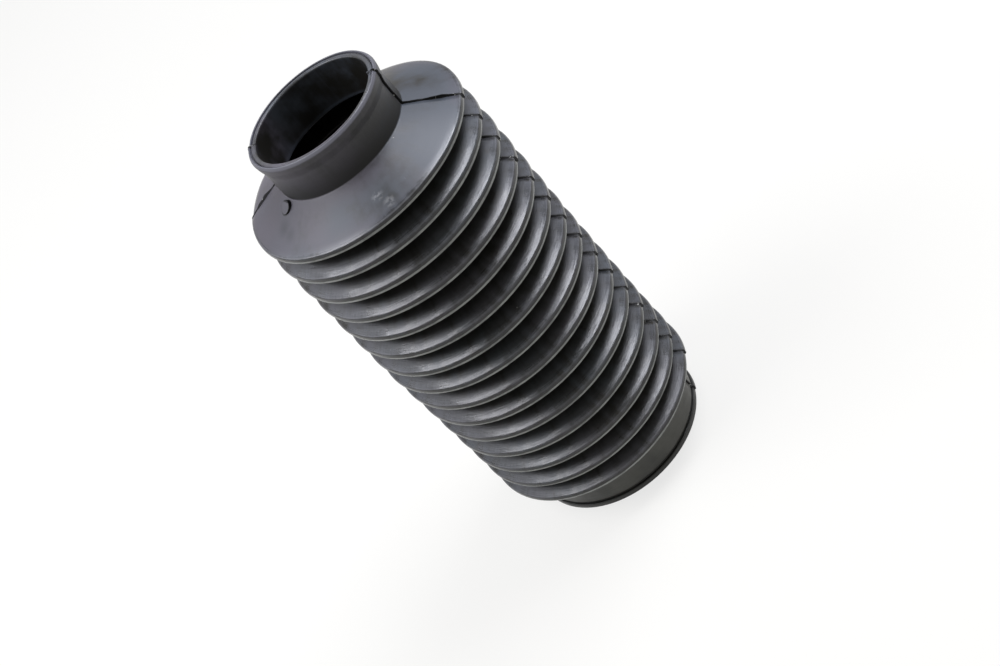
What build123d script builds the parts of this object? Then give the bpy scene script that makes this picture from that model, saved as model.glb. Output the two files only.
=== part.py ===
"""Moulded rubber bellows boot: a lipped neck, a sloping shoulder, skirt-shaped folds and a beaded cuff.

It is one moulding, drawn as half a section and revolved about +Z. All sizes are in millimetres.
The boot stands on its cuff, with the base at Z = 0.
"""

import os
from math import cos, radians, sin, sqrt, tan

from build123d import *

# Folds
FOLD_COUNT = 15
FOLD_PITCH = 11.2
CREST_DIA = 94.0
CREST_LAND = 2.2  # flat band round each crest
ROOT_DIA = 77.0
FLANK_ANGLE = 31.0  # upper side of a fold, from the horizontal
FOLD_WALL = 2.0

# Cuff, the wide end
CUFF_BORE_DIA = 70.0
CUFF_WALL = 3.0
CUFF_HEIGHT = 16.3  # base to the lowest fold
BEAD_HEIGHT = 2.4
BEAD_PROUD = 0.6
BEAD_BEVEL = 0.5
GROOVE_WIDTH = 1.2
GROOVE_DEPTH = 0.7

# Neck, the narrow end
NECK_BORE_DIA = 50.0
NECK_WALL = 2.6
NECK_HEIGHT = 17.5  # top of the shoulder to the rim
LIP_HEIGHT = 4.6
LIP_PROUD = 0.85
LIP_ROUND = 0.6
RING_WIDTH = 1.85  # flat ring round the bore, inside the lip
RING_DROP = 0.3  # below the rim
DITCH_WIDTH = 0.35  # between the ring and the lip
DITCH_DEPTH = 1.0

# Shoulder, with the round pip that the mould leaves on it
SHOULDER_ANGLE = 26.5  # from the horizontal
PIP_DIA = 5.4
PIP_HEIGHT = 1.0
PIP_OFFSET = 30.8  # from the axis
PIP_BEARING = -144.0
PIP_ANGLE = 37.0  # of its axis, from the vertical: it leans out past square to the shoulder

# Radii and wall thicknesses that follow
crest_r = CREST_DIA / 2
root_r = ROOT_DIA / 2
cuff_bore_r = CUFF_BORE_DIA / 2
cuff_r = cuff_bore_r + CUFF_WALL
neck_bore_r = NECK_BORE_DIA / 2
neck_r = neck_bore_r + NECK_WALL
lip_wall = NECK_WALL - RING_WIDTH - DITCH_WIDTH + LIP_PROUD
lip_round = min(LIP_ROUND, 0.45 * lip_wall)
bead_bevel = min(BEAD_BEVEL, 0.45 * BEAD_HEIGHT)

# Rise for each millimetre inwards. A fold's underside takes what its land and flank leave of the pitch.
flank = tan(radians(FLANK_ANGLE))
shoulder = tan(radians(SHOULDER_ANGLE))
underside = (FOLD_PITCH - CREST_LAND) / (crest_r - root_r) - flank

# Heights: the lower edge of each crest from the cuff up, then the shoulder and the rim
lowest = CUFF_HEIGHT + underside * (crest_r - cuff_r)
crests = [lowest + FOLD_PITCH * k for k in range(FOLD_COUNT)]
shoulder_top = crests[-1] + CREST_LAND + shoulder * (crest_r - neck_r)
rim = shoulder_top + NECK_HEIGHT


def outer_fold(crest):
    """One fold outside: lower edge, top of the land, root."""
    top = crest + CREST_LAND
    return [(crest_r, crest), (crest_r, top), (root_r, top + flank * (crest_r - root_r))]


def under_skin(crest, radius):
    """Inside of the underside that starts from a crest."""
    return radius, crest + FOLD_WALL * sqrt(1 + underside**2) - underside * (crest_r - radius)


def upper_skin(crest, radius, slope):
    """Inside of the slope that starts from the top of a crest's land."""
    return radius, crest + CREST_LAND - FOLD_WALL * sqrt(1 + slope**2) + slope * (crest_r - radius)


def inner_crest(crest, slope):
    """Inside corner of a crest, where its underside meets the slope above it."""
    gap = upper_skin(crest, crest_r, slope)[1] - under_skin(crest, crest_r)[1]
    return under_skin(crest, crest_r + gap / (underside + slope))


def inner_fold(crest):
    """One fold inside: crest corner, then the root band."""
    band_r = root_r - FOLD_WALL
    band = [upper_skin(crest, band_r, flank), under_skin(crest + FOLD_PITCH, band_r)]
    return [inner_crest(crest, flank), *band]


# Half section of the wall, from the base up on the outside and on the inside
outer = [(cuff_r, 0), (cuff_r, CUFF_HEIGHT)]
inner = [(cuff_bore_r, 0), under_skin(lowest, cuff_bore_r)]
for crest in crests:
    outer += outer_fold(crest)
    inner += inner_fold(crest)
outer[-1] = (neck_r, shoulder_top)
inner[-3:] = [inner_crest(crests[-1], shoulder), upper_skin(crests[-1], neck_bore_r, shoulder)]
outer.append((neck_r, rim - RING_DROP))
inner.append((neck_bore_r, rim - RING_DROP))

with BuildPart() as bellows_boot:
    with BuildSketch(Plane.XZ) as section:
        # Bead at the cuff's mouth
        with Locations((cuff_bore_r, 0)):
            Rectangle(CUFF_WALL + BEAD_PROUD, BEAD_HEIGHT, align=(Align.MIN, Align.MIN))
        chamfer(section.vertices().group_by(Axis.X)[-1], bead_bevel)

        # Rolled lip, a little higher than the ring round the bore
        with Locations((neck_r + LIP_PROUD, rim)):
            Rectangle(lip_wall, LIP_HEIGHT, align=(Align.MAX, Align.MAX))
        fillet(section.vertices().group_by(Axis.Y)[-1], lip_round)

        # Wall with its folds, the groove above the bead, and the ditch inside the lip
        with BuildLine():
            Polyline(*outer, *reversed(inner), close=True)
        make_face()
        with Locations((cuff_r, BEAD_HEIGHT)):
            Rectangle(2 * GROOVE_DEPTH, GROOVE_WIDTH, align=(Align.CENTER, Align.MIN), mode=Mode.SUBTRACT)
        with Locations((neck_bore_r + RING_WIDTH, rim)):
            Rectangle(DITCH_WIDTH, DITCH_DEPTH, align=(Align.MIN, Align.MAX), mode=Mode.SUBTRACT)
    revolve(axis=Axis.Z)

    # Pip, rooted in the wall of the shoulder
    lean = Vector(sin(radians(PIP_ANGLE)), 0, cos(radians(PIP_ANGLE))).rotate(Axis.Z, PIP_BEARING)
    seat = Vector(PIP_OFFSET, 0, shoulder_top + shoulder * (neck_r - PIP_OFFSET)).rotate(Axis.Z, PIP_BEARING)
    with BuildSketch(Plane(seat - lean * FOLD_WALL / 2, z_dir=lean)):
        Circle(PIP_DIA / 2)
    extrude(amount=FOLD_WALL / 2 + PIP_HEIGHT)

bellows_boot.part.label = "bellows_boot"
os.makedirs("parts", exist_ok=True)
export_step(bellows_boot.part, "parts/bellows_boot.step")
print("height", round(rim, 2), "lowest crest", round(lowest, 2), "top crest", round(crests[-1], 2))
print("neck bore length", round(rim - RING_DROP - inner[-2][1], 2), "cuff bore length", round(inner[1][1], 2))
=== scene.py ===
# %% [markdown]
# # A moulded rubber bellows boot
# The boot is one piece of black rubber, pressed in a two-part mould round a core. Fifteen
# skirt-shaped folds let it stretch and close over a sliding tube. This lesson dresses its
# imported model. Every size is in millimetres, as on a drawing, and becomes metres when a mesh
# is made. The boot stands on its cuff, and its axis is Z.

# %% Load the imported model
import math

import bpy
from mathutils import Matrix, Vector


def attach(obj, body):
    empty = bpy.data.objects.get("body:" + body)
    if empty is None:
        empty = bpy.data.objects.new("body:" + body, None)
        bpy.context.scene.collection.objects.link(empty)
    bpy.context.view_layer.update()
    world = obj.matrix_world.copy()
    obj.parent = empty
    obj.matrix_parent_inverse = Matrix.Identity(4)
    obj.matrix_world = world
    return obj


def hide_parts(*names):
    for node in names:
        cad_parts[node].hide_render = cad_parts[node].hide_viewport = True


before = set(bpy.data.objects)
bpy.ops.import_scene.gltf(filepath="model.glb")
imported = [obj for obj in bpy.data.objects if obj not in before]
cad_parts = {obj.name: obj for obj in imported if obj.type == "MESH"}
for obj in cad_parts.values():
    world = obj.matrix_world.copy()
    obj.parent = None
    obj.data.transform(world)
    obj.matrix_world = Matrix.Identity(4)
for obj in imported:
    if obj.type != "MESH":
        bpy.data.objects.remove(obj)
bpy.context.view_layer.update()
MM = 0.001
scene = bpy.context.scene

# %% [markdown]
# ## Sizes
# A fold is a skirt: a land round its crest, a slope in to the root above it, and a flatter
# underside. The neck grips a 50 mm tube and the cuff a 70 mm spigot. These are the drawing's
# sizes, and the heights of the crests, the shoulder and the rim follow from them.

# %% Sizes in millimetres
FOLDS, PITCH, LAND, WALL = 15, 11.2, 2.2, 2.0
CREST, ROOT = 47.0, 38.5
FLANK, SHOULDER = math.tan(math.radians(31)), math.tan(math.radians(26.5))  # rise per mm inwards
UNDER = (PITCH - LAND) / (CREST - ROOT) - FLANK
CUFF, CUFF_BORE, CUFF_TOP = 38.0, 35.0, 16.3
NECK, NECK_BORE, NECK_HEIGHT = 27.6, 25.0, 17.5
LOWEST = CUFF_TOP + UNDER * (CREST - CUFF)
TOP = LOWEST + PITCH * (FOLDS - 1)
SHOULDER_TOP = TOP + LAND + SHOULDER * (CREST - NECK)
RIM = SHOULDER_TOP + NECK_HEIGHT
print("crests from", round(LOWEST, 2), "to", round(TOP, 2), "rim at", round(RIM, 2))

# %% [markdown]
# ## From a section to a skin
# Anything moulded round is half a section spun about its axis. The section is a list of
# corners, each with its own rounding: a corner that catches light needs a few rows of faces,
# and a flat wall needs almost none. A support row beside each rounding keeps the shading of
# the flat wall flat.

# %% Round the corners of a section
SUPPORT, SUPPORT_SHARE = 0.35, 0.3


def rounded(corners):
    """Corners as (radius, height, rounding, steps) become the rows of a section."""
    rows = []
    for i, (r, z, size, steps) in enumerate(corners):
        here = Vector((r, z))
        if not size:
            rows.append(here)
            continue
        back = Vector(corners[i - 1][:2]) - here
        ahead = Vector(corners[i + 1][:2]) - here
        a, b = back.normalized(), ahead.normalized()
        half = a.angle(b) / 2
        reach = size / math.tan(half)
        centre = here + (a + b).normalized() * size / math.sin(half)
        start = here + a * reach - centre
        turn = math.copysign(math.pi - 2 * half, a.x * b.y - a.y * b.x)
        support = min(SUPPORT, SUPPORT_SHARE * (min(back.length, ahead.length) - reach))
        rows.append(here + a * (reach + support))
        for k in range(steps + 1):
            rows.append(centre + Matrix.Rotation(-turn * k / steps, 2) @ start)
        rows.append(here + b * (reach + support))
    return rows


def bowed(start, end, rise, steps):
    """Corners on the way from start to end, bowed out to the right of that way."""
    start, along = Vector(start), Vector(end) - Vector(start)
    right = Vector((along.y, -along.x)).normalized()
    shares = [k / steps for k in range(1, steps)]
    return [(*(start + along * s + right * rise * 4 * s * (1 - s)), 0, 0) for s in shares]


square = rounded([(0, 0, 0, 0), (5, 0, 1, 3), (5, 5, 0, 0)])
print("a rounded square corner:", [tuple(round(c, 2) for c in row) for row in square])

# %% [markdown]
# ## Columns, with the parting line
# The two halves of the mould met in the plane of X and Z and left a hair of flash on each
# side. Every column of the skin is a bearing round the axis. Beside the two seams some
# columns stand a fixed distance off the plane instead, so that the flash keeps its width
# from the narrow neck to the wide crests. Flash stands up beside a gutter in the near half.
# The core was one piece, so the inside has no seam: the attribute "outer" keeps the two apart.
# A Screw modifier would spin the section too, but all its columns are evenly spaced.

# %% Columns of the skin
STEP = 4  # degrees
# Distance off the plane of the seam, and the share of the flash's height that stands there
SEAM = {-0.75: 0.0, -0.4: -1.5, -0.18: 0.6, 0.0: 1.0, 0.18: 0.7, 0.36: 0.0, 0.75: 0.0}
columns = []
for side, far in ((0, 1), (180, -1)):
    columns += [(side, offset) for offset in sorted(far * offset for offset in SEAM)]
    columns += [(side + bearing, 0.0) for bearing in range(STEP, 180, STEP)]
print(len(columns), "columns")

# %% Spin a section about the axis
MOUTH = 0.2  # the seam starts this far out from a bore


def placed(name, data):
    """A new object of the scene, from a mesh, a lamp or a camera."""
    made = bpy.data.objects.new(name, data)
    scene.collection.objects.link(made)
    return made


def spin(name, skins):
    """Each skin is (rows, flash): rows that run up make a skin that faces outwards."""
    verts, faces, seam, outer = [], [], [], []
    n = len(columns)
    for rows, flash in skins:
        first = len(verts)
        for r, z in rows:
            bore = CUFF_BORE if z < CUFF_TOP else NECK_BORE
            outer += [float(flash and r > bore + MOUTH)] * n
            for bearing, offset in columns:
                turned = math.radians(bearing) + math.asin(offset / r)
                verts.append((r * math.cos(turned) * MM, r * math.sin(turned) * MM, z * MM))
                profile = SEAM[offset if bearing < 90 else -offset] if bearing % 180 == 0 else 0
                seam.append(flash * profile)
        for i in range(len(rows) - 1):
            low = first + i * n
            faces += [(low + j, low + (j + 1) % n, low + n + (j + 1) % n, low + n + j)
                      for j in range(n)]
    mesh = bpy.data.meshes.new(name)
    mesh.from_pydata(verts, [], faces)
    mesh.attributes.new("seam", "FLOAT", "POINT").data.foreach_set("value", seam)
    mesh.attributes.new("outer", "FLOAT", "POINT").data.foreach_set("value", outer)
    print(name, len(faces), "faces")
    return placed(name, mesh)


# %% [markdown]
# ## One fold
# All the folds between the two ends are alike, so one is drawn, from the bottom of a root to
# the bottom of the next. Outside, it goes under the fold, round the sharp lower edge, up the
# land, round the softer upper corner and in along the slope, which bows out a little. Inside,
# the wall follows 2 mm behind, with a plain band in each root where the core was turned.

# %% Lines of the wall
ROOT_IN = ROOT - WALL


def root_at(crest):
    return crest - UNDER * (CREST - ROOT)


def skin_under(crest, r):
    """Height of the inside of a fold's underside at a radius."""
    return crest + WALL * math.hypot(1, UNDER) - UNDER * (CREST - r)


def skin_over(crest, r, slope):
    """Height of the inside of the slope above a crest at a radius."""
    return crest + LAND - WALL * math.hypot(1, slope) + slope * (CREST - r)


def inner_corner(crest, slope):
    """Inside corner of a crest, where its underside meets the slope above it."""
    gap = skin_over(crest, CREST, slope) - skin_under(crest, CREST)
    r = CREST + gap / (UNDER + slope)
    return r, skin_under(crest, r)


def mid_band(crest):
    """Middle of the inside band below a crest."""
    return (skin_over(crest - PITCH, ROOT_IN, FLANK) + skin_under(crest, ROOT_IN)) / 2


print("root", round(root_at(LOWEST + PITCH), 2), "inside corner",
      [round(c, 2) for c in inner_corner(LOWEST, FLANK)])

# %% Corners of the wall outside
EDGE, NOSE, SOFT, HOLLOW = 0.25, 1.2, 0.8, 0.6  # roundings, from the lower edge up to the root
NOSE_RISE, DRAFT, CROWN, BOW = 0.8, 0.3, 0.1, 0.08


def crest_corners(crest):
    """Sharp lower edge, nose of the land, and the softer corner above it."""
    return [(CREST - DRAFT, crest - UNDER * DRAFT, EDGE, 3), (CREST, crest + NOSE_RISE, NOSE, 3),
            (CREST - CROWN, crest + LAND, SOFT, 5)]


def slope_corners(crest):
    """In from a crest along its slope to the root above, and out of it again."""
    up = root_at(crest + PITCH)
    way = bowed((CREST - CROWN, crest + LAND), (ROOT, up), BOW, 5)
    return way + [(ROOT, up, HOLLOW, 6), (CREST, crest + PITCH, 0, 0)]


def root_corners(crest):
    """The end of the slope below a crest, and the root where it meets the underside."""
    return slope_corners(crest - PITCH)[-3:-1]


print("corners of a crest", len(crest_corners(0)), "and of a slope", len(slope_corners(0)))

# %% The fold
CORE = 0.5  # rounding of the corners inside
NEAR = 10  # rows at either end of a section that may hold its deepest one


def between_roots(rows, below=True, above=True):
    """Rows from the deepest one near the start to the deepest one near the end."""
    end = len(rows)
    first = min(range(NEAR), key=lambda i: rows[i].x) if below else 0
    last = min(range(end - NEAR, end), key=lambda i: rows[i].x) if above else end
    return rows[first:last + 1]


crest = LOWEST + PITCH
outside = rounded(root_corners(crest) + crest_corners(crest) + slope_corners(crest))
inside = rounded([(ROOT_IN, mid_band(crest + PITCH), 0, 0),
                  (ROOT_IN, skin_over(crest, ROOT_IN, FLANK), CORE, 2),
                  (*inner_corner(crest, FLANK), CORE, 3),
                  (ROOT_IN, skin_under(crest, ROOT_IN), CORE, 2),
                  (ROOT_IN, mid_band(crest), 0, 0)])
fold = spin("fold", [(between_roots(outside), 1), (inside, 0)])

# %% [markdown]
# ## The two ends
# The lowest fold grows out of the cuff, which has a small bead round its mouth and a groove
# above it. The top fold's slope runs on as the shoulder, up to the neck with its rolled lip.
# A narrow ring lies round the bore, a little below the lip. The ends hold the first and the
# last fold, and the folds between them are stacked later. Each corner below is its radius,
# its height, its rounding and the steps of that rounding.

# %% Cuff end, with the lowest fold
BEAD, BEAD_HEIGHT, BEAD_ROUND = 38.6, 2.4, 0.5
GROOVE, GROOVE_DEPTH, GROOVE_ROUND = 1.2, 0.7, 0.12
BEVEL = 0.4  # at the mouth of the bore
groove_floor, groove_top = CUFF - GROOVE_DEPTH, BEAD_HEIGHT + GROOVE
cuff_outside = rounded([
    (CUFF_BORE, BEVEL, 0, 0),
    (CUFF_BORE + BEVEL, 0, 0, 0),
    (BEAD, 0, BEAD_ROUND, 3),
    (BEAD, BEAD_HEIGHT, BEAD_ROUND, 4),
    (groove_floor, BEAD_HEIGHT, GROOVE_ROUND, 1),
    (groove_floor, groove_top, GROOVE_ROUND, 1),
    (CUFF, groove_top, 0.18, 2),
    (CUFF, CUFF_TOP, 0.5, 4),
    *crest_corners(LOWEST), *slope_corners(LOWEST)])
cuff_inside = rounded([
    (ROOT_IN, mid_band(LOWEST + PITCH), 0, 0),
    (ROOT_IN, skin_over(LOWEST, ROOT_IN, FLANK), CORE, 2),
    (*inner_corner(LOWEST, FLANK), CORE, 3),
    (CUFF_BORE, skin_under(LOWEST, CUFF_BORE), CORE, 2),
    (CUFF_BORE, 2 * BEVEL, 0, 0),
    (CUFF_BORE, BEVEL, 0, 0)])
cuff_end = spin("cuff end", [(between_roots(cuff_outside, below=False), 1), (cuff_inside, 0)])

# %% Neck end, with the top fold
LIP, LIP_HEIGHT, LIP_WALL = 28.45, 4.6, 1.25
RING, RING_DEPTH, DITCH, DITCH_ROUND = 26.85, 0.3, 1.0, 0.08
SHOULDER_BOW, NECK_WAIST = 0.12, 0.12
lip_foot = RIM - LIP_HEIGHT
shoulder_way = bowed((CREST - CROWN, TOP + LAND), (NECK, SHOULDER_TOP), SHOULDER_BOW, 9)
neck_outside = rounded([
    *root_corners(TOP), *crest_corners(TOP), *shoulder_way,
    (NECK, SHOULDER_TOP, 0.5, 4),
    (NECK - NECK_WAIST, (SHOULDER_TOP + RIM - LIP_HEIGHT) / 2, 0, 0),
    (NECK, lip_foot - 1.4, 3.0, 4),
    (LIP - 0.25, lip_foot + 1.2, 2.0, 4),
    (LIP, RIM - 1.2, 0.9, 4),
    (LIP - 0.75, RIM, 0.4, 3),
    (LIP - LIP_WALL, RIM, 0.2, 2),
    (LIP - LIP_WALL, RIM - DITCH, DITCH_ROUND, 1),
    (RING, RIM - DITCH, DITCH_ROUND, 1),
    (RING, RIM - RING_DEPTH, 0.6, 4),
    (NECK_BORE, RIM - RING_DEPTH, 0.8, 5),
    (NECK_BORE, RIM - 3, 0, 0)])
neck_inside = rounded([
    (NECK_BORE, RIM - 3, 0, 0),
    (NECK_BORE, skin_over(TOP, NECK_BORE, SHOULDER), CORE, 2),
    (*inner_corner(TOP, SHOULDER), CORE, 3),
    (ROOT_IN, skin_under(TOP, ROOT_IN), CORE, 2),
    (ROOT_IN, mid_band(TOP), 0, 0)])
neck_end = spin("neck end", [(between_roots(neck_outside, above=False), 1), (neck_inside, 0)])

# %% [markdown]
# ## The pip
# A small round stud stands on the shoulder, where the mould had a vent plug. It leans out a
# little more than the shoulder does. It is drawn upright as a turned stud, tipped over and
# rooted in the wall, so no hole has to be cut for it.

# %% Pip on the shoulder
PIP, PIP_HEIGHT, PIP_ROOT, PIP_EDGE = 2.7, 1.0, 1.0, 0.2
PIP_EYE, PIP_CROWN = 0.3, 0.02  # radius and rise of the flat in the middle of its top
PIP_OUT, PIP_BEARING, PIP_ANGLE = 30.8, math.radians(-144), math.radians(37)
TURNS = 32
pip_rows = rounded([(PIP_EYE, PIP_HEIGHT + PIP_CROWN, 0, 0), (PIP, PIP_HEIGHT, PIP_EDGE, 3),
                    (PIP, -PIP_ROOT, 0, 0)])
bearings = [math.tau * j / TURNS for j in range(TURNS)]
verts = [(r * math.cos(b), r * math.sin(b), z) for r, z in pip_rows for b in bearings]
last = len(verts) - TURNS
faces = []
for upper in range(0, last, TURNS):
    lower = upper + TURNS
    for j in range(TURNS):
        k = (j + 1) % TURNS
        faces.append((upper + j, lower + j, lower + k, upper + k))
faces.append(tuple(range(TURNS)))
faces.append(tuple(reversed(range(last, len(verts)))))

pip_mesh = bpy.data.meshes.new("pip")
pip_mesh.from_pydata(verts, [], faces)
seat = Vector((PIP_OUT, 0, SHOULDER_TOP + SHOULDER * (NECK - PIP_OUT)))
pip_place = Matrix.Rotation(PIP_BEARING, 4, "Z") @ Matrix.Translation(seat)
pip_place = pip_place @ Matrix.Rotation(PIP_ANGLE, 4, "Y")
pip_mesh.transform(Matrix.Scale(MM, 4) @ pip_place)
pip = placed("pip", pip_mesh)
print("pip at", [round(c / MM, 1) for c in pip_mesh.vertices[0].co])

# %% [markdown]
# ## Moulded black rubber
# The boot is compression-moulded rubber, black with carbon. Fresh from the mould it is satin,
# and takes broad, soft highlights. A grey-lilac bloom of wax comes out on it with time, in
# clouds and along the streaks that demoulding left, and makes it lighter and duller. The roots
# between the folds and the foot of the neck are painted darker, as painted shade. The cutter
# that turned the mould left fine rings in every slope, about half a millimetre apart.
#
# Hands and boxes polish the upper corner of each crest, and a thin paler line along it is a
# painted highlight. They scuff the lower edge of each land to a chalky grey line, which also
# holds a painted reflection of the floor. The torn flash is blacker and duller than the skin,
# and its black also stands in for the shade of the gap along the seam. The crease round the pip,
# the lands, the bead and the foot of the neck carry painted shade, and the rim a painted
# highlight. A few scuffs, stains and specks of dust are on the shoulder, and a broad patch of
# painted shade lies on the front of the shoulder and the neck.
#
# Every pattern reads the attribute "drawn", which is where a point stood before the soft boot
# settled, so that a pattern stays on its fold.

# %% One function for every node
def emptied(owner):
    """The node tree of a new material or world, with nothing in it yet."""
    owner.use_nodes = True
    owner.node_tree.nodes.clear()
    return owner.node_tree


rubber = bpy.data.materials.new("moulded black rubber")
tree = emptied(rubber)


def node(kind, inputs=(), **settings):
    """Add a node to the tree at hand, with its settings and what goes into it.

    An input takes a plain value, a socket, or another node, which gives its first output.
    """
    made = tree.nodes.new(kind)
    for key, value in settings.items():
        setattr(made, key, value)
    for key, value in inputs.items() if isinstance(inputs, dict) else enumerate(inputs):
        if isinstance(value, bpy.types.Node):
            value = value.outputs[0]
        if isinstance(value, bpy.types.NodeSocket):
            tree.links.new(value, made.inputs[key])
        else:
            made.inputs[key].default_value = value
    return made


print("an empty tree for", rubber.name, "with", len(tree.nodes), "nodes")

# %% [markdown]
# ### Sums, masks and coats
# Most of the material is made of a few habits. Values are multiplied, or something is added to
# them in one place only. A mask is 1 where a mark is and 0 elsewhere, and is a product of steps
# along the boot. A colour is laid over another through a mask, like a coat of paint.

# %% Sums and masks
def product(value, *others):
    """All the values multiplied together."""
    for other in others:
        value = node("ShaderNodeMath", (value, other), operation="MULTIPLY")
    return value


def plus(value, *parts):
    """A value with something added to it, each part given as (where, amount)."""
    for where, amount in parts:
        value = node("ShaderNodeMath", (where, amount, value), operation="MULTIPLY_ADD")
    return value


def mask(*steps, unit=MM):
    """A product of steps up from 0 to 1, at lengths in millimetres.

    A step is (value, start) where it is sharp and (value, start, end) where it is smooth, and
    two more numbers stand in for 0 and 1. It steps down where the end is below the start. A
    unit of 1 is for what is no length, such as a noise.
    """
    shares = []
    for value, start, *rest in steps:
        if not rest:
            shares.append(node("ShaderNodeMath", (value, start * unit), operation="GREATER_THAN"))
            continue
        end, low, high = rest if len(rest) > 1 else (*rest, 0.0, 1.0)
        shares.append(node("ShaderNodeMapRange", {"Value": value, "From Min": start * unit,
                                                  "From Max": end * unit, "To Min": low, "To Max": high},
                           interpolation_type="SMOOTHSTEP"))
    return product(*shares)


print("masks are in units of", MM, "m")

# %% Where a point lies on the boot
def cylinder(place):
    """A place's X, Y and Z, its distance from the axis, and the way out to it."""
    split = node("ShaderNodeSeparateXYZ", (place,)).outputs
    flat = node("ShaderNodeCombineXYZ", (split["X"], split["Y"]))
    radius = node("ShaderNodeVectorMath", (flat,), operation="LENGTH").outputs["Value"]
    around = node("ShaderNodeVectorMath", (flat,), operation="NORMALIZE")
    return split["X"], split["Y"], split["Z"], radius, around


drawn = node("ShaderNodeAttribute", attribute_name="drawn").outputs["Vector"]
x, y, z, radius, around = cylinder(drawn)
on_fold = mask((z, TOP + LAND + 1, TOP + LAND))

# Height above the lower edge of the nearest land, from 1 mm below it to the next land
above = node("ShaderNodeMath", (z, LOWEST * MM), operation="SUBTRACT")
above = node("ShaderNodeMath", (above, (PITCH - 1) * MM, -1 * MM), operation="WRAP")
at_crest = mask((radius, CREST - 0.6))
# Painted shade: the land below its upper corner is painted darker, and is made smoother
land_shade = product(at_crest, mask((above, LAND - 0.2, LAND - 0.6)))
print("folds up to", round(TOP + LAND, 1), "mm take", len(tree.nodes), "nodes to find")

# %% [markdown]
# ### Bloom and rings
# A noise becomes a pattern by the place it is given. Round clouds take the drawn place as it
# is. Streaks take the way out from the axis, drawn out along the radius. The rings of the
# cutter follow height less radius, which runs along every slope, and each mark runs some
# 12 mm round before it fades.

# %% Bloom
# Grains to the metre: clouds of 29 mm and a mottle of 2.4 mm
CLOUDS, MOTTLE = 34.0, 420.0
# Streaks of 14 mm by some 3 mm: the stretch to the metre and to the radian, and the scale
STREAK_LENGTH, STREAK_WIDTH, STREAKS = 45.0, 9.0, 1.6


def contrast(value, gain):
    """A noise with another contrast about its middle, 0.5."""
    return plus(0.5, (node("ShaderNodeMath", (value, 0.5), operation="SUBTRACT"), gain))


clouds = node("ShaderNodeTexNoise", {"Vector": drawn, "Scale": CLOUDS, "Detail": 3.0, "Roughness": 0.6})
clouds = contrast(clouds, plus(2.0, (on_fold, -1.0)))
across = (STREAK_WIDTH, STREAK_WIDTH, 0.0)
across = node("ShaderNodeVectorMath", (around, across), operation="MULTIPLY")
outward = node("ShaderNodeCombineXYZ", {2: product(radius, STREAK_LENGTH)})
place = node("ShaderNodeVectorMath", (across, outward), operation="ADD")
streaks = node("ShaderNodeTexNoise", {"Vector": place, "Scale": STREAKS, "Detail": 4.0, "Roughness": 0.6})
streaks = contrast(streaks, plus(0.35, (on_fold, 0.65)))
mottle = node("ShaderNodeTexNoise", {"Vector": drawn, "Scale": MOTTLE, "Detail": 3.0, "Roughness": 0.6})
below_neck = mask((z, SHOULDER_TOP + 1, SHOULDER_TOP))
haze = node("ShaderNodeMath", (clouds, streaks), operation="ADD")
haze = plus(haze, (below_neck, 0.27), (on_fold, -0.19), (mottle, 0.35))
bloom = mask((haze, 0.95, 1.5), unit=1.0)
print("with bloom", len(tree.nodes), "nodes")

# %% Rings of the cutter, and polish
RINGS, ROUND = 1300.0, 4.0  # grains to the metre along a slope, and to a radian round it
FULL_POLISH = 50  # mm up the boot
along = node("ShaderNodeMath", (z, radius), operation="SUBTRACT")
along = node("ShaderNodeCombineXYZ", {2: product(along, RINGS)})
turned = node("ShaderNodeVectorMath", (around, (ROUND, ROUND, 0.0)), operation="MULTIPLY")
place = node("ShaderNodeVectorMath", (turned, along), operation="ADD")
rings = node("ShaderNodeTexNoise", {"Vector": place, "Scale": 1.0, "Detail": 2.0, "Roughness": 0.7})
rings = node("ShaderNodeMath", (rings, 0.5), operation="SUBTRACT")
rings = product(rings, plus(0.25, (on_fold, 0.75)))

# Polish: the outer 3 mm of every slope, up to the corner of its crest, and less near the cuff
polish = mask((radius, CREST - 3.2, CREST - 0.8), (above, LAND - 1.0, LAND - 0.3),
              (z, CUFF_TOP, FULL_POLISH, 0.4, 1.0))
print("with rings and polish", len(tree.nodes), "nodes")

# %% [markdown]
# ### Edges, ends and seams
# Wear, dirt, painted highlights and painted shade keep to edges, so their masks follow the drawing's
# own sizes: a crest, a land, the rim, the plane of the seam. A noise breaks each one up, so that no
# edge is worn all along.

# %% Chalky edge with painted reflection, painted highlight and painted shade of the roots
WANDER, WORN = 90.0, 150.0  # grains to the metre: 11 and 6.7 mm
wander = node("ShaderNodeTexNoise", {"Vector": drawn, "Scale": WANDER, "Detail": 2.0, "Roughness": 0.5})
wander = plus(above, (wander, 0.5 * MM))
worn = node("ShaderNodeTexNoise", {"Vector": drawn, "Scale": WORN, "Detail": 3.0, "Roughness": 0.6})
worn = mask((worn, 0.35, 0.6, 0.45, 1.0), unit=1.0)
# Chalk: a scuffed, chalky grey line along the lower edge of a land, with a painted reflection of the
# floor in its pale colour
chalk_and_reflection = product(mask((wander, 1.3, 1.0)), at_crest, worn)

# Painted highlight: a thin paler line along the upper corner of a crest
corner_highlight = mask((radius, CREST - 0.9, CREST - 0.5), (above, LAND - 0.2, LAND))

# Painted shade: the roots between the folds are painted darker
root_shade = product(mask((radius, CREST - 2.5, CREST - 6.0)), on_fold, mask((z, CUFF_TOP + 1)))
print("with edges and roots", len(tree.nodes), "nodes")

# %% Cuff, rim and foot of the neck
# Dust on the cuff, painted shade on its bead, and a painted highlight on the rim
on_cuff = mask((z, CUFF_TOP + 0.5, CUFF_TOP - 0.5))
bead_shade = mask((z, groove_top, BEAD_HEIGHT, 0.0, 0.7))
# Painted highlight: the top of the rim is painted lighter
rim_highlight = mask((z, RIM - 1.5, RIM - 0.7), (radius, RING, RING + 0.3, 0.0, 0.9))

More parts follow.
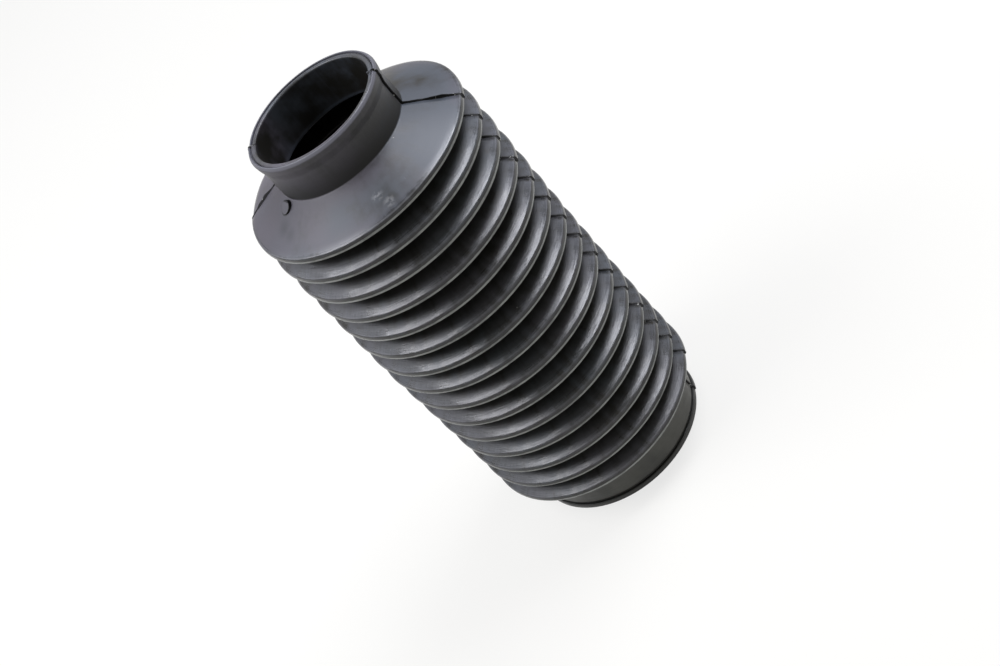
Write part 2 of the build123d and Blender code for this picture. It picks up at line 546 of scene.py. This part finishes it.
# Painted shade: the foot of the neck, in the corner with the shoulder, is painted darker
on_neck = mask((z, SHOULDER_TOP + 0.3), (radius, NECK - 1))
neck_foot_shade = product(on_neck, mask((z, lip_foot, SHOULDER_TOP)))
print("with the two ends", len(tree.nodes), "nodes")

# %% Flash
# A thin uneven band on the plane of the seam, outside the bore only, with a few chips and a
# wider tear half way down the shoulder
TEAR, TEAR_EDGE = (35.0, 43.0), 2.0
RAGGED = 700.0  # grains to the metre: 1.4 mm


def torn_at(radius, z):
    """1 where the flash is torn: between two distances from the axis, above the top crest."""
    near, far = TEAR
    return mask((radius, near, near + TEAR_EDGE), (radius, far, far - TEAR_EDGE), (z, TOP + LAND))


ragged = node("ShaderNodeTexNoise", {"Vector": drawn, "Scale": RAGGED, "Detail": 2.0, "Roughness": 0.5})
width = plus(0.18 * MM, (ragged, 0.5 * MM))
width = plus(width, (torn_at(radius, z), 0.45 * MM))
from_seam = node("ShaderNodeMath", (y, 0.2 * MM), operation="ADD")
from_seam = node("ShaderNodeMath", (from_seam,), operation="ABSOLUTE")
outer = node("ShaderNodeAttribute", attribute_name="outer").outputs["Fac"]
seamed = product(mask((outer, 0.5), unit=1.0), mask((radius, LIP - LIP_WALL - 0.05)))
# The flash band is torn rubber, blacker than the skin, and its black is also painted shade from the gap
# along the seam
flash = product(node("ShaderNodeMath", (from_seam, width), operation="LESS_THAN"), seamed)
near_seam = node("ShaderNodeMath", (from_seam, 0.45 * MM), operation="LESS_THAN")
chip = product(mask((ragged, 0.66), unit=1.0), near_seam, seamed)
print("with flash", len(tree.nodes), "nodes")

# %% Specks of dust
SPECKS, SPECK = 260.0, 0.07  # cells to the metre, and half a speck: 0.27 mm of a 3.8 mm cell
FEW = 0.965  # cells whose number is lower have no speck
cells = node("ShaderNodeTexVoronoi", {"Vector": drawn, "Scale": SPECKS}, feature="F1").outputs
picked = node("ShaderNodeSeparateColor", (cells["Color"],))
small = node("ShaderNodeMath", (cells["Distance"], SPECK), operation="LESS_THAN")
speck = product(mask((picked, FEW), unit=1.0), small)
print("with specks", len(tree.nodes), "nodes")

# %% Painted shade, scuffs and stains on the shoulder
def patches(*spots):
    """1 at some points of the boot, each (x, y, z, reach), and 0 from a reach away."""
    most = None
    for x, y, z, reach in spots:
        apart = node("ShaderNodeVectorMath", (drawn, (x * MM, y * MM, z * MM)), operation="DISTANCE")
        spot = mask((apart.outputs["Value"], reach, 0.0))
        most = node("ShaderNodeMath", (most, spot), operation="MAXIMUM") if most else spot
    return most


# Painted shade in the crease round the pip: distance from the pip's axis, close to the pip only
pip_axis = pip_place.to_3x3() @ Vector((0, 0, 1))
arm = node("ShaderNodeVectorMath", (drawn, pip_place.translation * MM), operation="SUBTRACT")
arm = node("ShaderNodeVectorMath", (arm, pip_axis), operation="CROSS_PRODUCT")
arm = node("ShaderNodeVectorMath", (arm,), operation="LENGTH").outputs["Value"]
arm = node("ShaderNodeMath", (arm, (PIP + 0.05) * MM), operation="SUBTRACT")
arm = node("ShaderNodeMath", (arm,), operation="ABSOLUTE")
near_pip = mask((patches((*pip_place.translation, 5.0)), 0.0))
pip_crease_shade = product(mask((arm, 0.4, 0.1)), near_pip)

# Scuffs and stains of handling, and broad patches of painted shade on the front of the shoulder and the
# neck
scuff = patches((11.8, -36.6, 183.6, 3.2), (15.4, -40.0, 181.5, 3.2), (-18.9, -38.2, 181.6, 1.2))
scuff = product(scuff, mask((ragged, 0.48, 0.62), unit=1.0))
stain = patches((-28.4, -24.1, 184.3, 5.0), (-26.3, -28.8, 183.4, 4.5))
painted_shade = patches((14.9, -35.0, 184.0, 20.0), (10.5, -25.5, 194.0, 20.0))
print("with marks of handling", len(tree.nodes), "nodes")

# %% [markdown]
# ### Colour, roughness and relief
# A coat hides those under it, so the wide ones go on first: bloom, painted shade, stains and dust,
# then the painted highlights, painted shade and wear of the edges, and last the flash and its chips.
# The IOR of rubber is near 1.5. What is polished is smoother than the rest, and what is chalky or torn is
# rougher.

# %% Colours of sRGB, laid over one another
def linear(code):
    """An sRGB hex colour as the linear numbers that a shader takes."""
    parts = [int(code[i:i + 2], 16) / 255 for i in (1, 3, 5)]
    return [*(c / 12.92 if c <= 0.04045 else ((c + 0.055) / 1.055) ** 2.4 for c in parts), 1.0]


def coat(colour, *layers):
    """A colour with others laid over it, each given as (where, how much, colour)."""
    for where, amount, paint in layers:
        share = product(where, amount)
        colour = node("ShaderNodeMix", {0: share, 6: colour, 7: paint}, data_type="RGBA").outputs[2]
    return colour


print("carbon black", [round(c, 4) for c in linear("#232427")])

# %% Rubber's colour
TINTS, DUSTY = 24.0, 45.0  # grains to the metre: 42 and 22 mm
tint = node("ShaderNodeTexNoise", {"Vector": drawn, "Scale": TINTS, "Detail": 1.0, "Roughness": 0.5})
dusk = coat(linear("#393e45"), (mask((tint, 0.42, 0.58), unit=1.0), 1.0, linear("#454249")),
            (on_fold, 0.5, linear("#3c4042")))
dusty = node("ShaderNodeTexNoise", {"Vector": drawn, "Scale": DUSTY, "Detail": 3.0, "Roughness": 0.6})
dust = coat(linear("#2f302c"), (mask((dusty, 0.35, 0.65), unit=1.0), 1.0, linear("#43433e")))
colour = coat(
    linear("#1e1d1a"),
    (bloom, 1.0, dusk),
    (root_shade, 0.75, linear("#0d0c04")),
    (on_neck, 0.2, linear("#4a4a50")),
    (painted_shade, 0.2, linear("#111112")),
    (stain, 0.5, linear("#17181d")),
    (pip_crease_shade, 1.0, linear("#030303")),
    (on_cuff, 1.0, dust),
    (bead_shade, 1.0, linear("#121211")),
    (neck_foot_shade, 0.8, linear("#0b0b08")),
    (rim_highlight, 1.0, linear("#5b5b62")),
    (land_shade, 0.8, linear("#0c0c0b")),
    (corner_highlight, 0.22, linear("#77777a")),
    (chalk_and_reflection, 1.0, linear("#7b7e7c")),
    (scuff, 0.35, linear("#8d8d8d")),
    (speck, 1.0, linear("#8a8a88")),
    (flash, 1.0, linear("#040405")),
    (chip, 1.0, linear("#9a9a96")))
print("with colour", len(tree.nodes), "nodes")

# %% Rubber's roughness and relief
rough = node("ShaderNodeMapRange", {"Value": bloom, "To Min": 0.33, "To Max": 0.47})
rough = plus(rough, (polish, -0.19), (land_shade, -0.2), (on_neck, 0.08), (neck_foot_shade, 0.25),
             (chalk_and_reflection, 0.2), (flash, 0.4), (rings, 0.4))
lift = plus(rings, (mottle, 0.05))
bump = node("ShaderNodeBump", {"Height": lift, "Strength": 0.85, "Distance": 0.08 * MM})
skin = node("ShaderNodeBsdfPrincipled", {"Base Color": colour, "Roughness": rough, "IOR": 1.46,
                                         "Normal": bump})
node("ShaderNodeOutputMaterial", {"Surface": skin})
print("rubber has", len(tree.nodes), "nodes")

# %% [markdown]
# ## Stack the folds
# Copies made by hand would all have to be made again when the fold changes. A Geometry Nodes
# tree repeats one fold up the axis instead, joins the two ends and the pip, and welds the rows
# where they meet. The boot is soft, so the tree then lets it stand as a soft thing does: the
# middle folds hang a little low and no two crests are quite alike. The lower folds lean to one
# side by 2 mm and the cuff by 1.5 mm more, the folds above the cuff are pinched, all folds tilt
# a little, and the top fold is warped up at the back.
#
# The two halves of the mould were half a millimetre out of line, so the skin steps at the
# seams. Last the tree raises the flash along them, ragged as a trimmed edge is, and highest
# where it is torn, half way down the shoulder.

# %% Inputs of the stacking tree
stack = bpy.data.node_groups.new("stack folds", "GeometryNodeTree")
tree = stack
INPUTS = {
    "Fold": ("Geometry", None), "Neck End": ("Object", None), "Cuff End": ("Object", None),
    "Pip": ("Object", None), "Folds": ("Int", FOLDS - 2), "Pitch": ("Float", PITCH * MM),
    "Settle": ("Float", 1.25 * MM), "Unevenness": ("Float", 0.5 * MM),
    "Flash": ("Float", 0.42 * MM), "Mismatch": ("Float", 0.5 * MM),
    "Lean": ("Float", 2.0 * MM), "Cuff Lean": ("Float", 1.5 * MM),
    "Pinch": ("Float", 0.3 * MM), "Tilt": ("Float", 0.35 * MM), "Warp": ("Float", 1.4 * MM),
    "Seed": ("Float", 3.0), "Rubber": ("Material", None)}
sockets = {}
for label, (kind, value) in INPUTS.items():
    socket = stack.interface.new_socket(label, in_out="INPUT", socket_type="NodeSocket" + kind)
    if value is not None:
        socket.default_value = value
    sockets[label] = socket.identifier
stack.interface.new_socket("Boot", in_out="OUTPUT", socket_type="NodeSocketGeometry")
print("tree inputs", list(sockets))

# %% Stack, join and weld
WELD = 0.002  # mm
given = node("NodeGroupInput").outputs
rise = node("ShaderNodeCombineXYZ", {2: given["Pitch"]})
line = node("GeometryNodeMeshLine", {"Count": given["Folds"], "Offset": rise})
folds = node("GeometryNodeInstanceOnPoints", {"Points": line, "Instance": given["Fold"]})
joined = node("GeometryNodeJoinGeometry")
for part in ("Pip", "Cuff End", "Neck End"):
    shape = node("GeometryNodeObjectInfo", {"Object": given[part]}).outputs["Geometry"]
    tree.links.new(shape, joined.inputs[0])
tree.links.new(node("GeometryNodeRealizeInstances", (folds,)).outputs[0], joined.inputs[0])
welded = node("GeometryNodeMergeByDistance", {"Geometry": joined, "Distance": WELD * MM})
place = node("GeometryNodeInputPosition")
body = node("GeometryNodeStoreNamedAttribute", {"Geometry": welded, "Name": "drawn", "Value": place},
            data_type="FLOAT_VECTOR", domain="POINT")
x, y, z, radius, around = cylinder(place)
print("stack of", FOLDS, "folds,", len(tree.nodes), "nodes")

# %% [markdown]
# ### Soft shapes
# Each change of shape is a shift of every point, and comes in and goes out over a stretch of
# the boot's height. All the shifts are added up and made in one go.

# %% Settle, unevenness and lean
LEAN_TO = math.radians(23)
SLACK_IN, SLACK_OUT = (20, 46), (176, 140)  # heights in mm: none at the first, all at the second
LEAN_FOOT, LEAN_REACH, CUFF_LEAN_IN = 20, 80, (20, 9)
UNEVEN = 28.0  # grains to the metre: 36 mm, or three folds
slack = mask((z, *SLACK_IN), (z, *SLACK_OUT))
wave = node("ShaderNodeTexNoise", {"Vector": place, "W": given["Seed"], "Scale": UNEVEN, "Detail": 1.0},
            noise_dimensions="4D")
drop = node("ShaderNodeMath", (wave, 0.5), operation="SUBTRACT")
drop = product(drop, given["Unevenness"])
drop = node("ShaderNodeMath", (drop, given["Settle"]), operation="SUBTRACT")
drop = product(drop, slack)

# The lower folds lean to one side, and the cuff more so
near_foot = node("ShaderNodeMath", (z, LEAN_FOOT * MM), operation="SUBTRACT")
near_foot = node("ShaderNodeMath", (near_foot, LEAN_REACH * MM), operation="DIVIDE")
near_foot = node("ShaderNodeMath", (1.0, near_foot), operation="SUBTRACT")
near_foot = node("ShaderNodeClamp", (near_foot,))
lean = product(near_foot, given["Lean"])
lean = plus(lean, (mask((z, *CUFF_LEAN_IN)), given["Cuff Lean"]))
print("with the lean", len(tree.nodes), "nodes")

# %% Pinch, warp and tilt
WARP_TO, WARP_FROM = math.radians(168), 160
PINCH_IN, PINCH_OUT = (22, 45), (105, 70)
pinch = product(mask((z, *PINCH_IN), (z, *PINCH_OUT, 0.0, -1.0)), given["Pinch"])
pinch = node("ShaderNodeVectorMath", {0: around, "Scale": pinch}, operation="SCALE")

# The top fold is warped up at the back, and most on the left
warp = (math.cos(WARP_TO), math.sin(WARP_TO), 0.0)
warp = node("ShaderNodeVectorMath", (around, warp), operation="DOT_PRODUCT").outputs["Value"]
facing = node("ShaderNodeSeparateXYZ", (around,)).outputs
at_back = mask((facing["Y"], 0.0, 0.6), unit=1.0)
warp = plus(mask((warp, 0.75, 1.0), unit=1.0), (at_back, 0.45))
warp = product(warp, mask((z, WARP_FROM, TOP)), mask((z, SHOULDER_TOP, TOP + LAND)))
tilt = product(facing["X"], mask((z, CUFF_TOP, LOWEST)), mask((z, SHOULDER_TOP, TOP)))
drop = plus(drop, (warp, given["Warp"]), (tilt, given["Tilt"]))
print("with the warp", len(tree.nodes), "nodes")

# %% Mismatch of the halves, then the whole shift
MISMATCH_UP = 0.24  # how much of the mismatch is along the axis too
outer = node("GeometryNodeInputNamedAttribute", {"Name": "outer"}, data_type="FLOAT")
step = node("ShaderNodeMath", (mask((y, 0.01)), 0.5), operation="SUBTRACT")
step = product(step, mask((radius, NECK_BORE + 0.5, RING)), given["Mismatch"], outer)
shift_x = plus(step, (lean, math.cos(LEAN_TO)))
shift_y = product(lean, math.sin(LEAN_TO))
shift_z = plus(drop, (product(step, slack), MISMATCH_UP))
shift = node("ShaderNodeCombineXYZ", (shift_x, shift_y, shift_z))
shift = node("ShaderNodeVectorMath", (shift, pinch), operation="ADD")
body = node("GeometryNodeSetPosition", {"Geometry": body, "Offset": shift})
print("with the whole shift", len(tree.nodes), "nodes")

# %% Flash, raised along the seams
TORN = 260.0  # grains to the metre: 3.8 mm
seam = node("GeometryNodeInputNamedAttribute", {"Name": "seam"}, data_type="FLOAT")
torn = node("ShaderNodeTexNoise", {"Vector": place, "W": given["Seed"], "Scale": TORN, "Detail": 2.0},
            noise_dimensions="4D")
torn = plus(0.25, (mask((torn, 0.38, 0.72), unit=1.0), mask((z, TOP, TOP + LAND, 0.75, 1.6))))
height = product(torn, given["Flash"], seam, outer)

# Twice as high in the tear, low at the crests, the base and the rim, and high along the lip
height = product(height, plus(1.0, (torn_at(radius, z), 1.0)))
for trim in ((radius, CREST - 0.4, CREST - 1.5, 0.35, 1.0), (z, 0.5, 2.0),
             (z, RIM, RIM - 1.0, 0.5, 1.0), (z, RIM - 6.0, RIM - 3.5, 1.0, 1.8)):
    height = product(height, mask(trim))
normal = node("GeometryNodeInputNormal")
raised = node("ShaderNodeVectorMath", {0: normal, "Scale": height}, operation="SCALE")
body = node("GeometryNodeSetPosition", {"Geometry": body, "Offset": raised})
print("with flash", len(tree.nodes), "nodes")

# %% Finish the tree
body = node("GeometryNodeSetShadeSmooth", {"Geometry": body})
body = node("GeometryNodeRealizeInstances", {"Geometry": body})
body = node("GeometryNodeSetMaterial", {"Geometry": body, "Material": given["Rubber"]})
node("NodeGroupOutput", (body,))
print("tree has", len(tree.nodes), "nodes")

# %% Grow the boot and make it a plain mesh
helpers = (fold, neck_end, cuff_end, pip)
for helper in helpers:
    helper.data.materials.append(rubber)
grow = fold.modifiers.new("stack", "NODES")
grow.node_group = stack
for label, value in (("Neck End", neck_end), ("Cuff End", cuff_end), ("Pip", pip), ("Rubber", rubber)):
    grow[sockets[label]] = value
bpy.context.view_layer.update()
mesh = bpy.data.meshes.new_from_object(fold.evaluated_get(bpy.context.evaluated_depsgraph_get()))
mesh.name = "boot"
boot = placed("boot", mesh)
fold.modifiers.remove(grow)
for helper in helpers:
    bpy.data.objects.remove(helper)
mesh.calc_loop_triangles()
print("boot", len(mesh.vertices), "vertices", len(mesh.loop_triangles), "triangles")
print("materials", [m.name for m in mesh.materials], "attributes", [a.name for a in mesh.attributes])

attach(boot, "root")
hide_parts("bellows_boot")

# %% [markdown]
# ## Floor, light and camera
# A pale floor runs past the picture on every side. What looks at it, through the lens or by
# a reflection, sees it nearly white, and it keeps the boot's shadow. Two large softboxes stand
# high on the left and on the right, and pick out each fold twice. Three weak ones, two low and
# one behind, fill the sides that turn away from them.

# %% Floor
FLOOR_HALF, FLOOR_DROP = 6.0, 0.0002  # metres
GLOW = 0.75  # share of the floor that is white by itself, where it is seen


def plane(name, half, z):
    made = bpy.data.meshes.new(name)
    made.from_pydata([(-half, -half, z), (half, -half, z), (half, half, z), (-half, half, z)],
                     [], [(0, 1, 2, 3)])
    return placed(name, made)


def seen():
    """1 for a ray from the camera, a mirror or glass, and 0 for light on its way."""
    path = node("ShaderNodeLightPath").outputs
    lens = node("ShaderNodeMath", (path["Is Camera Ray"], path["Is Glossy Ray"]), operation="MAXIMUM")
    return node("ShaderNodeMath", (lens, path["Is Transmission Ray"]), operation="MAXIMUM")


floor = plane("floor", FLOOR_HALF, -FLOOR_DROP)
paper = bpy.data.materials.new("matt white paper")
tree = emptied(paper)
matt = node("ShaderNodeBsdfDiffuse", {"Color": linear("#d2d0c6")})
white = node("ShaderNodeEmission", {"Color": linear("#ffffff"), "Strength": 1.0})
mixed = node("ShaderNodeMixShader", (product(seen(), GLOW), matt, white))
node("ShaderNodeOutputMaterial", {"Surface": mixed})
floor.data.materials.append(paper)
print("floor", 2 * FLOOR_HALF, "m across")

# %% Room
room = bpy.data.worlds.new("room")
tree = emptied(room)
LIT, SHOWN = 0.24, 0.28  # the room's light, and what is added to it where it is seen
air = node("ShaderNodeBackground", {"Color": linear("#fffdf8"), "Strength": plus(LIT, (seen(), SHOWN))})
node("ShaderNodeOutputWorld", {"Surface": air})
scene.world = room
print("room has", len(tree.nodes), "nodes")

# %% Softboxes
AIM, AWAY = Vector((0, 0, 0.1)), 1.2  # metres


def softbox(name, bearing, rise, size, radiance, tint):
    """A square lamp at a bearing and a rise in degrees, turned to the boot."""
    data = bpy.data.lights.new(name, "AREA")
    data.shape, data.size, data.energy = "SQUARE", size, radiance * math.pi * size * size
    data.color = linear(tint)[:3]
    lamp = placed(name, data)
    b, e = math.radians(bearing), math.radians(rise)
    way = Vector((math.cos(e) * math.cos(b), math.cos(e) * math.sin(b), math.sin(e)))
    lamp.location = AIM + way * AWAY
    lamp.rotation_euler = way.to_track_quat("Z", "Y").to_euler()
    print(name, round(data.energy, 1), "watts")


softbox("left softbox", 197, 58, 0.65, 9.7, "#f3f4fb")
softbox("right softbox", 34, 60, 0.62, 13.3, "#f3f5ff")
softbox("low left softbox", 167, 36, 0.6, 2.5, "#e9edfc")
softbox("low right softbox", 60, 36, 0.6, 1.7, "#e0e8ff")
softbox("back softbox", 112, 38, 0.8, 1.1, "#e6eaff")

# %% Camera
lens = bpy.data.cameras.new("camera")
lens.lens, lens.sensor_width = 66.30, 36.0
camera = placed("camera", lens)
camera.location = (0.22709, -0.54708, 0.50334)
camera.rotation_euler = [math.radians(a) for a in (45.6065, 33.5276, -5.4031)]
scene.camera = camera
scene.view_settings.view_transform = "Standard"
print("camera stands", round(camera.location.length, 2), "m from the foot of the boot")
